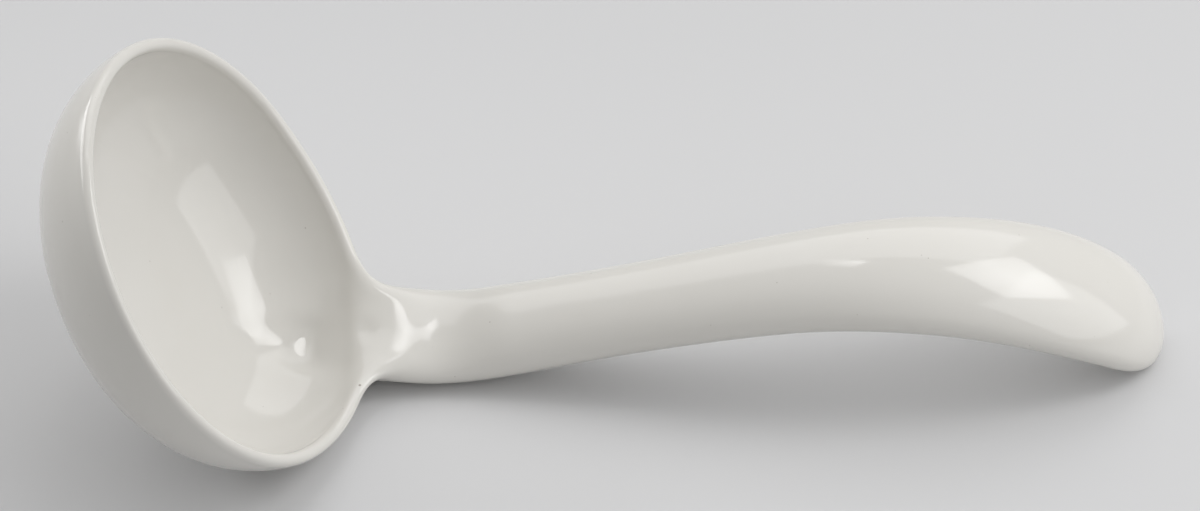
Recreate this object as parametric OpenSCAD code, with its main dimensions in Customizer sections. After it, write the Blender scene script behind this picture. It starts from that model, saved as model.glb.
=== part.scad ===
// Tureen ladle in plain white glazed porcelain, lying on a table.
// The bowl is a turned cup with a round lip. The handle is a solid oval bar that rises from
// the rim, bends over and ends in a broad, drooping, rounded grip. Its root spreads into two
// shoulders that ride on the lip, and a thin coat of slip lutes the root to the bowl.
// The pieces are worked out in the bowl's own frame: the rim lies in the XY plane, the handle
// leaves along +X, and the bowl hangs below. The whole ladle is then laid on the table, where
// it rests on the bowl's side, on the heel of the handle and on the handle's tip.

/* [Bowl] */
// Outer radius of the rim
rim_radius = 34; // [30:0.5:40]
// Depth of the bowl from the crest of the lip to the outer bottom
bowl_depth = 19.8; // [17:0.1:24]
// Fullness of the wall: a larger value stands straighter under the rim
wall_fullness = 3.7; // [2.6:0.1:4.4]
// Roundness of the bottom: a smaller value is flatter in the middle
bottom_roundness = 1.74; // [1.6:0.02:2.2]
// Thickness of the round lip
lip_thickness = 2; // [1.6:0.1:2.8]
// Thickness of the bowl at the middle of its bottom
bottom_thickness = 3; // [2.4:0.1:4]

/* [Root and shoulders] */
// How far round the rim each shoulder reaches from the middle of the root
shoulder_angle = 62; // [50:1:70]
// Height of the shoulders above the rim where they meet the neck
shoulder_rise = 6.6; // [4:0.2:8]
// Hollowness of the shoulders' sweep: a smaller value falls away faster from the neck
shoulder_sweep = 0.6; // [0.5:0.05:1]
// How softly the shoulders run out into the rim
shoulder_fade = 2.1; // [1.6:0.1:2.6]
// How far round the rim each side of the bar's foot reaches
foot_angle = 15; // [12:0.5:18]
// How far down the outer wall the root reaches below the crest of the lip
root_drop = 12; // [8:0.2:14]
// Angle at which the root's underside leaves the outer wall
root_flare = 4; // [3:0.5:10]
// How far the upper face of the neck is hollowed to flow into the bowl
neck_hollow = 1.8; // [0:0.1:2.4]
// Thickness of the slip between the root and the bowl
slip_thickness = 0.4; // [0.3:0.05:0.8]

/* [Line of the handle] */
// Distance from the bowl's axis to the middle of the neck
neck_reach = 38.1; // [37:0.1:40]
// Height of the middle of the neck above the rim
neck_rise = 6.6; // [5:0.1:9]
// Length of the handle's middle line from neck to tip
handle_length = 121.7; // [105:0.1:135]
// Slope of the handle at the neck, measured from the plane of the rim
neck_slope = 41; // [37:1:48]
// Slope in the throat above the neck
throat_slope = 67; // [60:1:72]
// Slope at the narrow waist
waist_slope = 70; // [64:1:74]
// Slope where the handle starts to bend over
bend_slope = 66; // [60:1:72]
// Slope on the crown of the bend
crown_slope = 46; // [40:1:52]
// Slope of the broad grip
grip_slope = 23; // [16:1:30]
// Slope at the tip, which droops
tip_slope = -5; // [-14:1:4]

/* [Section of the handle] */
// Width of the neck
neck_width = 15.6; // [13:0.1:18]
// Width of the throat above the neck
throat_width = 15; // [13:0.1:18]
// Width of the narrow waist
waist_width = 14.8; // [13:0.1:18]
// Width where the handle starts to bend over
bend_width = 16.6; // [14:0.1:19]
// Width on the crown of the bend
crown_width = 20; // [17:0.1:22]
// Width of the broad grip
grip_width = 21.2; // [18:0.1:24]
// Width that the grip would have at the tip if it weren't rounded off
tip_width = 17; // [14:0.1:20]
// Thickness of the neck
neck_thickness = 10.6; // [9:0.1:12]
// Thickness of the throat above the neck
throat_thickness = 9.9; // [8:0.1:12]
// Thickness at the narrow waist
waist_thickness = 9.4; // [8:0.1:12]
// Thickness where the handle starts to bend over
bend_thickness = 9.7; // [8:0.1:12]
// Thickness on the crown of the bend
crown_thickness = 10.3; // [8:0.1:12]
// Thickness of the broad grip
grip_thickness = 9.8; // [8:0.1:12]
// Thickness that the grip would have at the tip if it weren't rounded off
tip_thickness = 7.9; // [6:0.1:10]
// Length of the rounded end of the grip
tip_length = 11.4; // [8:0.1:15]
// Squareness of the rounded end: 2 is a true oval
tip_squareness = 2.4; // [2:0.05:3]

/* [How it lies] */
// Turn on the table, so that the handle runs along +X
table_turn = 23.9; // [0:0.1:45]

/* [Hidden] */
$fn = 96;

glaze_white = [0.86, 0.85, 0.82];
slip_white = [0.9, 0.89, 0.87];

// Fineness of the curves
wall_steps = 26;
lip_steps = 6;
ring_points = 44;
root_rings = 9;
shoulder_steps = 48;
shoulder_tops = 8;
bar_rings = 46;
tip_rings = 9;

lip_round = lip_thickness / 2;
lip_middle = rim_radius - lip_round;

// Stations along the handle's middle line, from the neck to the tip
station_shares = [0, 0.105, 0.28, 0.475, 0.667, 0.842, 1];
stations = station_shares * handle_length;
slopes = [neck_slope, throat_slope, waist_slope, bend_slope, crown_slope, grip_slope, tip_slope];
widths = [
    neck_width, throat_width, waist_width, bend_width, crown_width, grip_width, tip_width
];
thicknesses = [
    neck_thickness, throat_thickness, waist_thickness, bend_thickness,
    crown_thickness, grip_thickness, tip_thickness
];

// Steepness of a smooth curve through the values ys at station i
function steepness(ys, i) =
    let (a = max(i - 1, 0), b = min(i + 1, len(ys) - 1))
    (ys[b] - ys[a]) / (stations[b] - stations[a]);

// Last station at or before distance s
function station_before(s) =
    max([for (i = [0 : len(stations) - 2]) if (s >= stations[i]) i]);

// Value at distance s of the smooth curve through the values ys at the stations
function value_at(ys, s) =
    let (
        i = station_before(s),
        span = stations[i + 1] - stations[i],
        t = (s - stations[i]) / span,
        start_part = ys[i] * (2 * t ^ 3 - 3 * t ^ 2 + 1),
        end_part = ys[i + 1] * (3 * t ^ 2 - 2 * t ^ 3),
        leave_part = steepness(ys, i) * span * (t ^ 3 - 2 * t ^ 2 + t),
        arrive_part = steepness(ys, i + 1) * span * (t ^ 3 - t ^ 2)
    )
    start_part + end_part + leave_part + arrive_part;

// Distances of the handle's rings: even along the bar, then closing up towards the tip
bar_length = handle_length - tip_length;
ring_at = concat(
    [for (i = [0 : bar_rings - 1]) bar_length * i / bar_rings],
    [for (i = [0 : tip_rings - 1]) bar_length + tip_length * sin(90 * i / tip_rings)]
);

function direction(slope) = [cos(slope), 0, sin(slope)];
function across(slope) = [-sin(slope), 0, cos(slope)];

// Middle line of the handle, walked from ring to ring
ring_stops = concat(ring_at, [handle_length]);
neck_middle = [neck_reach, 0, neck_rise];
middle_line = [
    for (
        i = 0, p = neck_middle;
        i < len(ring_stops);
        p = i + 1 < len(ring_stops)
            ? p + (ring_stops[i + 1] - ring_stops[i])
                * direction(value_at(slopes, (ring_stops[i] + ring_stops[i + 1]) / 2))
            : p,
        i = i + 1
    ) p
];
tip_point = middle_line[len(middle_line) - 1];

// Share of the full section that is left at distance s in the rounded end
function rounding_at(s) =
    let (g = max(0, s - bar_length) / tip_length)
    (1 - g ^ tip_squareness) ^ (1 / tip_squareness);

// How much the upper face is hollowed at distance s: it fades out by the throat
function hollow_at(s) =
    let (t = min(1, s / stations[1]))
    neck_hollow * (1 - 3 * t ^ 2 + 2 * t ^ 3);

function turn_of(k) = 360 * k / ring_points;

// Oval section of the handle about point p at distance s
function oval(p, s) =
    let (
        slope = value_at(slopes, s),
        half_width = value_at(widths, s) / 2 * rounding_at(s),
        half_thickness = value_at(thicknesses, s) / 2 * rounding_at(s)
    )
    [
        for (k = [0 : ring_points - 1])
            let (
                a = turn_of(k),
                rise = half_thickness - (sin(a) > 0 ? hollow_at(s) : 0)
            )
            p + [0, half_width * cos(a), 0] + rise * sin(a) * across(slope)
    ];

bar = [for (i = [0 : len(ring_at) - 1]) oval(middle_line[i], ring_at[i])];

// Outer radius of the bowl at a height below the rim, for a wall grown outwards by grow
function wall_radius(z, grow) =
    let (u = min(1, max(0, (-lip_round - z) / (bowl_depth + grow - lip_round))))
    (rim_radius + grow) * (1 - u ^ bottom_roundness) ^ (1 / wall_fullness);

// Radius of the outer surface near the lip, where the round lip narrows towards its crest
function outside_radius(z) =
    z < -lip_round
        ? wall_radius(z, 0)
        : lip_middle + sqrt(max(0, lip_round ^ 2 - (z + lip_round) ^ 2));

// How far over the lip the root reaches on the inside, as a share of the lip's own round
inner_share = 0.84;

// How the foot runs down the outer wall: a larger value keeps its sides higher
foot_sweep = 1.2;

// Where the foot of the bar meets the bowl: over the lip on the inside, down the wall outside
function foot_height(a) =
    sin(a) >= 0
        ? -lip_round / 2 * sin(a)
        : -root_drop * (-sin(a)) ^ foot_sweep;
function foot_radius(a) =
    sin(a) >= 0
        ? lip_middle - inner_share * lip_round * sin(a)
        : outside_radius(foot_height(a));
function around(radius, angle, z) = [radius * cos(angle), radius * sin(angle), z];
function foot_at(a) = around(foot_radius(a), foot_angle * cos(a), foot_height(a));

// The same loop sunk into the wall, which closes the foot inside the bowl
sink_depth = lip_round / 2;
function sunk_at(a) =
    let (in_lip = around(lip_middle, foot_angle * cos(a), -lip_round - sink_depth))
    sin(a) >= 0 ? in_lip : (3 * foot_at(a) + in_lip) / 4;
sunk_loop = [for (k = [0 : ring_points - 1]) sunk_at(turn_of(k))];

// Lean of the outer wall away from upright at a height below the rim
height_step = 0.1;
function wall_lean(z) =
    atan((wall_radius(z + height_step, 0) - wall_radius(z - height_step, 0)) / (2 * height_step));

// Direction in which the foot leaves the bowl: upright inside, leaning out on the underside
root_lean = wall_lean(-root_drop) + root_flare;
function leaving(a) =
    let (lean = root_lean * (1 - sin(a)) / 2)
    around(sin(lean), foot_angle * cos(a), cos(lean));

// Point of the root at share u of the way from the foot to the neck, at turn a
function root_point(a, neck_point, u) =
    let (
        foot = foot_at(a),
        reach = norm(neck_point - foot)
    )
    foot * (2 * u ^ 3 - 3 * u ^ 2 + 1)
        + neck_point * (3 * u ^ 2 - 2 * u ^ 3)
        + reach * leaving(a) * (u ^ 3 - 2 * u ^ 2 + u)
        + reach * direction(neck_slope) * (u ^ 3 - u ^ 2);

root = [
    for (j = [0 : root_rings - 1])
        [
            for (k = [0 : ring_points - 1])
                root_point(turn_of(k), bar[0][k], j / root_rings)
        ]
];

// Share of their full height that the shoulders have at an angle round the rim: it stays
// level where the bar stands on the lip
level_share = 0.8;
level_angle = foot_angle * level_share;
function shoulder_share(angle) =
    let (out = max(abs(angle), level_angle) / shoulder_angle)
    (1 - out ^ shoulder_sweep) ^ shoulder_fade;

// Section of the shoulders at an angle: a web on the lip with a round top, which runs down
// the outer wall as a fillet and starts inside the lip
wall_bite = 0.3;
web_inset = 0.1;
web_round = lip_round - web_inset;
function shoulder_section(angle) =
    let (
        share = shoulder_share(angle),
        top = -lip_round - web_inset + (shoulder_rise + lip_round) * share,
        bottom = lip_round + (root_drop - lip_round) * share
    )
    concat(
        [around(lip_middle - inner_share * lip_round, angle, -lip_round - web_inset)],
        [
            for (i = [0 : shoulder_tops])
                let (a = 180 - 180 * i / shoulder_tops)
                around(
                    lip_middle + web_round * cos(a),
                    angle,
                    top + web_round * sin(a)
                )
        ],
        [around(wall_radius(-bottom, 0) - wall_bite, angle, -bottom)]
    );
shoulders = [
    for (i = [1 : shoulder_steps - 1])
        shoulder_section(shoulder_angle * (2 * i / shoulder_steps - 1))
];

// Least distance of a set of points along a direction
function least(points, along) = min([for (p = points) p * along]);
function flatten(rings) = [for (ring = rings) for (p = ring) p];

// Outline of the bowl's outside from the middle of its bottom to the crest of the lip
function outside_profile(grow) = concat(
    [[0, -bowl_depth - grow]],
    [
        for (i = [wall_steps - 1 : -1 : 0])
            let (
                u = sin(90 * i / wall_steps),
                z = -lip_round - (bowl_depth + grow - lip_round) * u
            )
            [wall_radius(z, grow), z]
    ],
    [
        for (i = [1 : lip_steps])
            [lip_middle, -lip_round]
                + (lip_round + grow) * [cos(90 * i / lip_steps), sin(90 * i / lip_steps)]
    ]
);

// Outline of the hollow from the crest of the lip to the middle of its bottom
hollow_depth = bowl_depth - bottom_thickness;
inside_profile = concat(
    [
        for (i = [1 : lip_steps - 1])
            [lip_middle, -lip_round]
                + lip_round * [-sin(90 * i / lip_steps), cos(90 * i / lip_steps)]
    ],
    [
        for (i = [0 : wall_steps - 1])
            let (u = sin(90 * i / wall_steps))
            [
                (rim_radius - lip_thickness) * (1 - u ^ bottom_roundness) ^ (1 / wall_fullness),
                -lip_round - (hollow_depth - lip_round) * u
            ]
    ],
    [[0, -hollow_depth]]
);

// How the ladle lies: the roll about X and the tip-up about Y are found by Newton's steps, so
// that the bowl, the heel and the tip all touch the table
bowl_rings = outside_profile(0);
root_points = flatten(root);
first_heel_ring = 2;
heel_points = flatten([for (i = [first_heel_ring : floor(len(bar) / 2)]) bar[i]]);
tip_share = 0.7;
tip_points = concat(
    flatten([for (i = [floor(len(bar) * tip_share) : len(bar) - 1]) bar[i]]),
    [tip_point]
);
function up_for(lie) =
    [-sin(lie[1]), cos(lie[1]) * sin(lie[0]), cos(lie[1]) * cos(lie[0])];

// Least distance of the bowl along a direction, which is exact for a turned shape
function bowl_least(along) =
    min([for (q = bowl_rings) q[1] * along[2] - q[0] * norm([along[0], along[1]])]);
function root_end_least(along) = min(bowl_least(along), least(root_points, along));
function gaps(lie) =
    let (
        up = up_for(lie),
        bowl_end = root_end_least(up)
    )
    [least(heel_points, up) - bowl_end, least(tip_points, up) - bowl_end];
lie_step = 0.05;
longest_step = 1.5;
function no_longer(v, limit) = norm(v) > limit ? v * limit / norm(v) : v;
function better(lie) =
    let (
        here = gaps(lie),
        by_roll = (gaps(lie + [lie_step, 0]) - here) / lie_step,
        by_tip = (gaps(lie + [0, lie_step]) - here) / lie_step,
        det = by_roll[0] * by_tip[1] - by_roll[1] * by_tip[0],
        step = [
            (here[0] * by_tip[1] - here[1] * by_tip[0]) / det,
            (here[1] * by_roll[0] - here[0] * by_roll[1]) / det
        ]
    )
    lie - no_longer(step, longest_step);
function settled(lie, steps) = steps == 0 ? lie : settled(better(lie), steps - 1);
first_lie = [28, 50];
newton_steps = 12;
lie = settled(first_lie, newton_steps);

// The table's own directions, seen from the bowl's frame
table_up = up_for(lie);
level_x = [cos(lie[1]), sin(lie[1]) * sin(lie[0]), sin(lie[1]) * cos(lie[0])];
level_y = [0, cos(lie[0]), -sin(lie[0])];
table_x = cos(table_turn) * level_x - sin(table_turn) * level_y;
table_y = sin(table_turn) * level_x + cos(table_turn) * level_y;
all_points = concat(root_points, flatten(bar), [tip_point]);
function whole_least(along) = min(bowl_least(along), least(all_points, along));
function middle_along(along) = (whole_least(along) - whole_least(-along)) / 2;

// The origin is on the table, under the middle of the whole ladle
lie_shift = [-middle_along(table_x), -middle_along(table_y), -whole_least(table_up)];

module laid_down() {
    translate(lie_shift) rotate([lie[0], lie[1], table_turn]) children();
}

// Closed skin over rings of points, with a strip cap at the start and a point at the end
module skin(rings, end_point) {
    n = ring_points;
    last = (len(rings) - 1) * n;
    sides = [
        for (j = [0 : len(rings) - 2])
            for (k = [0 : n - 1])
                let (m = (k + 1) % n)
                each [
                    [j * n + k, (j + 1) * n + k, j * n + m],
                    [j * n + m, (j + 1) * n + k, (j + 1) * n + m]
                ]
    ];
    start_cap = [
        for (k = [0 : n / 2 - 1])
            let (a = k, b = k + 1, c = (n - k) % n, d = n - k - 1)
            each [
                if (a != c) [a, b, c],
                if (b != d) [b, d, c]
            ]
    ];
    end_cap = [for (k = [0 : n - 1]) [last + k, len(rings) * n, last + (k + 1) % n]];
    polyhedron(
        points = concat(flatten(rings), [end_point]),
        faces = concat(sides, start_cap, end_cap)
    );
}

// Closed web of the two shoulders, running round the rim from one end to the other
module shoulder_web() {
    n = shoulder_tops + 3;
    last = (len(shoulders) - 1) * n;
    sides = [
        for (j = [0 : len(shoulders) - 2])
            for (k = [0 : n - 1])
                let (m = (k + 1) % n)
                each [
                    [j * n + k, (j + 1) * n + k, j * n + m],
                    [j * n + m, (j + 1) * n + k, (j + 1) * n + m]
                ]
    ];
    start_cap = [for (k = [1 : n - 2]) [0, k, k + 1]];
    end_cap = [for (k = [1 : n - 2]) [last, last + k + 1, last + k]];
    polyhedron(points = flatten(shoulders), faces = concat(sides, start_cap, end_cap));
}

module root_and_bar() {
    skin(concat([sunk_loop], root, bar), tip_point);
    shoulder_web();
}

// The bowl's outside as a solid, grown outwards by grow
module bowl_solid(grow) {
    rotate_extrude() polygon(concat(outside_profile(grow), [[0, grow]]));
}

module bowl_shape() {
    rotate_extrude() polygon(concat(outside_profile(0), inside_profile));
}

module bowl() {
    color(glaze_white) laid_down() bowl_shape();
}

module handle() {
    color(glaze_white) laid_down() difference() {
        root_and_bar();
        bowl_solid(slip_thickness);
    }
}

module slip_joint() {
    color(slip_white) laid_down() difference() {
        intersection() {
            root_and_bar();
            bowl_solid(slip_thickness);
        }
        bowl_shape();
    }
}

bowl();
handle();
slip_joint();
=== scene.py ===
"""A small tureen ladle in white glazed porcelain, lying on a pale table.

The skin of the ladle is one smooth surface. It is modelled in the bowl's own frame, in
millimetres: the crest of the rim lies in the XY plane, the handle leaves along +X and the bowl
hangs below. It is then laid on the table, in metres, and parted at the joint into the bowl and
the handle, which stand for the solids of the frame.
"""

import logging
import math
from dataclasses import dataclass, field
from enum import Enum

import bmesh
import bpy
from bmesh.types import BMesh, BMFace, BMVert
from mathutils import Euler, Matrix, Quaternion, Vector


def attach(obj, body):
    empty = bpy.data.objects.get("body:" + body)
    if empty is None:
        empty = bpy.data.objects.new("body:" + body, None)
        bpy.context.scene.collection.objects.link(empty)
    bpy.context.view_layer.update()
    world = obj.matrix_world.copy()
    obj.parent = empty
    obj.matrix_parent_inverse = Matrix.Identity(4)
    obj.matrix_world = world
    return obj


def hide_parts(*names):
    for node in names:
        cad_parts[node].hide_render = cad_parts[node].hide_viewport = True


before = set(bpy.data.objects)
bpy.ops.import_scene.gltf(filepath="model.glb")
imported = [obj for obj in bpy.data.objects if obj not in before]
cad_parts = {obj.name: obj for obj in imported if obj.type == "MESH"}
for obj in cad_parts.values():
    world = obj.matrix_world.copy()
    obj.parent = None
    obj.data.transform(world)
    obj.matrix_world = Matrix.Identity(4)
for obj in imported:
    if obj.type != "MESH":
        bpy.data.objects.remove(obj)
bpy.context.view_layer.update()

LOG = logging.getLogger("ladle")
# One millimetre, in metres
METRES = 0.001
WHOLE_TURN = 360.0
HALF_TURN = 180.0
QUARTER_TURN = 90.0
# How far the round of the crest reaches, as a share of the lip's own round
LIP_SOFTNESS = 1.17
# Lengths over which a slope is measured, in millimetres
LEAN_STEP = 0.1
GRADIENT_STEP = 0.05


class Piece(Enum):
    """The two pieces of clay, by the material index that their faces carry in the cage."""

    BOWL = 0
    HANDLE = 1


def smooth_step(t: float) -> float:
    """Return a smooth rise from 0 at t = 0 to 1 at t = 1."""
    t = min(1.0, max(0.0, t))
    return t * t * (3.0 - 2.0 * t)


def soft_min(a: float, b: float, reach: float) -> float:
    """Return the lesser of two distances, with a fillet where they are alike.

    Args:
        a: One distance.
        b: The other distance.
        reach: How alike the distances are where the fillet starts; 0 gives a sharp corner.

    Returns:
        The blended distance.
    """
    if reach <= 0.0:
        return min(a, b)
    share = max(reach - abs(a - b), 0.0) / reach
    return min(a, b) - share * share * reach / 4.0


def soft_max(a: float, b: float, reach: float) -> float:
    """Return the greater of two distances, with a rounded edge where they are alike."""
    return -soft_min(-a, -b, reach)


def round_angle(p: Vector) -> float:
    """Return the angle of a point round the bowl from the middle of the neck, in degrees."""
    return math.degrees(math.atan2(p.y, p.x))


@dataclass(frozen=True)
class SmoothCurve:
    """A smooth curve through values at stations along the handle.

    Attributes:
        stations: Distances from the neck.
        values: The value at each station.
    """

    stations: tuple[float, ...]
    values: tuple[float, ...]

    def steepness(self, i: int) -> float:
        """Return the curve's steepness at station i."""
        a = max(i - 1, 0)
        b = min(i + 1, len(self.values) - 1)
        return (self.values[b] - self.values[a]) / (self.stations[b] - self.stations[a])

    def at(self, s: float) -> float:
        """Return the value at distance s.

        Args:
            s: Distance from the neck; before it the first value holds.

        Returns:
            The value of the curve.
        """
        s = min(max(s, self.stations[0]), self.stations[-1])
        i = 0
        while i < len(self.stations) - 2 and s >= self.stations[i + 1]:
            i += 1
        span = self.stations[i + 1] - self.stations[i]
        t = (s - self.stations[i]) / span
        return (
            self.values[i] * (2 * t**3 - 3 * t**2 + 1)
            + self.values[i + 1] * (3 * t**2 - 2 * t**3)
            + self.steepness(i) * span * (t**3 - 2 * t**2 + t)
            + self.steepness(i + 1) * span * (t**3 - t**2)
        )


@dataclass
class Bowl:
    """The turned bowl, with its wall, its round lip and the rise of its rim into the neck.

    Lengths are in millimetres and angles in degrees.

    Attributes:
        radius: Outer radius of the rim.
        depth: Depth from the crest of the lip to the outer bottom.
        fullness: Fullness of the wall: a larger value stands straighter under the rim.
        bottom_roundness: Roundness of the bottom: a smaller value is flatter in the middle.
        lip_thickness: Thickness of the round lip.
        bottom_thickness: Thickness at the middle of the bottom.
        shoulder_angle: How far round the rim each shoulder reaches.
        shoulder_level: Angle up to which the crest stays level.
        shoulder_rise: Height of the crest above the rim in the middle of the neck.
        shoulder_sweep: Hollowness of the crest's sweep down to the rim.
        shoulder_fade: How softly the crest runs out into the rim.
        rise_depth: How far below the rim the wall's rows are drawn up after it.
        neck_lean: How far the wall leans out above the rim, as a share of its height.
        neck_hollow: Height over which the wall starts to lean.
        lean_height: Height over which the lean runs out.
        lean_angle: Angle round the rim at which the lean ends.
        lean_sweep: Angle over which it fades in.
    """

    radius: float = 34.0
    depth: float = 19.8
    fullness: float = 3.7
    bottom_roundness: float = 1.74
    lip_thickness: float = 2.0
    bottom_thickness: float = 3.0
    shoulder_angle: float = 60.0
    shoulder_level: float = 12.0
    shoulder_rise: float = 2.2
    shoulder_sweep: float = 1.5
    shoulder_fade: float = 1.6
    rise_depth: float = 8.0
    neck_lean: float = 0.5
    neck_hollow: float = 4.0
    lean_height: float = 14.0
    lean_angle: float = 20.0
    lean_sweep: float = 14.0

    @property
    def lip_round(self) -> float:
        """Radius of the round lip."""
        return self.lip_thickness / 2

    @property
    def lip_middle(self) -> float:
        """Radius of the circle along the middle of the lip."""
        return self.radius - self.lip_round

    def wall_radius(self, z: float, inside: bool) -> float:
        """Return the radius of the wall at a height.

        Args:
            z: Height, which is 0 at the crest of the rim.
            inside: True for the inner surface, False for the outer.

        Returns:
            The radius; above the lip's middle it stays as it is there.
        """
        rim = self.radius - (self.lip_thickness if inside else 0.0)
        deep = self.depth - (self.bottom_thickness if inside else 0.0)
        u = (-self.lip_round - z) / (deep - self.lip_round)
        u = min(1.0, max(0.0, u))
        return rim * (1.0 - u**self.bottom_roundness) ** (1.0 / self.fullness)

    def wall_height(self, r: float, inside: bool) -> float:
        """Return the height of the wall at a radius.

        Args:
            r: Radius.
            inside: True for the inner surface, False for the outer.

        Returns:
            The height, which is 0 at the crest of the rim.
        """
        rim = self.radius - (self.lip_thickness if inside else 0.0)
        deep = self.depth - (self.bottom_thickness if inside else 0.0)
        u = max(0.0, 1.0 - (r / rim) ** self.fullness) ** (1.0 / self.bottom_roundness)
        return -self.lip_round - (deep - self.lip_round) * u

    def wall_point(self, turn: float, inside: bool) -> tuple[float, float]:
        """Return a point of the wall's profile.

        Args:
            turn: Turn down the wall, 0 at the lip and 90 at the bottom.
            inside: True for the inner surface, False for the outer.

        Returns:
            The radius and the height.
        """
        rim = self.radius - (self.lip_thickness if inside else 0.0)
        r = rim * math.cos(math.radians(turn)) ** (2.0 / self.fullness)
        return r, self.wall_height(r, inside)

    def rise(self, angle: float) -> float:
        """Return how far the rim has risen towards the neck.

        Args:
            angle: Angle round the rim from the middle of the neck.

        Returns:
            The height above the rest of the rim.
        """
        out = max(abs(angle), self.shoulder_level) / self.shoulder_angle
        if out >= 1.0:
            return 0.0
        return self.shoulder_rise * (1.0 - out**self.shoulder_sweep) ** self.shoulder_fade

    def reach(self, z: float, angle: float, inside: bool) -> float:
        """Return the radius of the wall where it runs on up into the neck.

        Args:
            z: Height.
            angle: Angle round the rim from the middle of the neck.
            inside: True for the inner surface, False for the outer.

        Returns:
            The radius, which leans out above the rim in the middle of the neck.
        """
        if z <= -self.lip_round:
            return self.wall_radius(z, inside)
        h = self.lean_height * (1.0 - math.exp(-(z + self.lip_round) / self.lean_height))
        grown = math.hypot(h, self.neck_hollow) - self.neck_hollow
        middle = smooth_step((self.lean_angle - abs(angle)) / self.lean_sweep)
        upright = self.radius - (self.lip_thickness if inside else 0.0)
        return upright + middle * self.neck_lean * grown

    def gap(self, p: Vector, inside: bool) -> float:
        """Return how far a point is away from the wall.

        Args:
            p: The point.
            inside: True for the inner surface, False for the outer.

        Returns:
            The distance, which is less than 0 on the clay's side of the surface.
        """
        angle = round_angle(p)
        here = self.reach(p.z, angle, inside)
        lean = (self.reach(p.z + LEAN_STEP, angle, inside) - here) / LEAN_STEP
        r = math.hypot(p.x, p.y)
        return ((here - r) if inside else (r - here)) / math.hypot(1.0, lean)

    def shell(self, p: Vector) -> float:
        """Return the distance of a point from the wall and its crest, as if it had no hollow."""
        crest = self.rise(round_angle(p))
        return soft_max(self.gap(p, inside=False), p.z - crest, LIP_SOFTNESS * self.lip_round)


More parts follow.
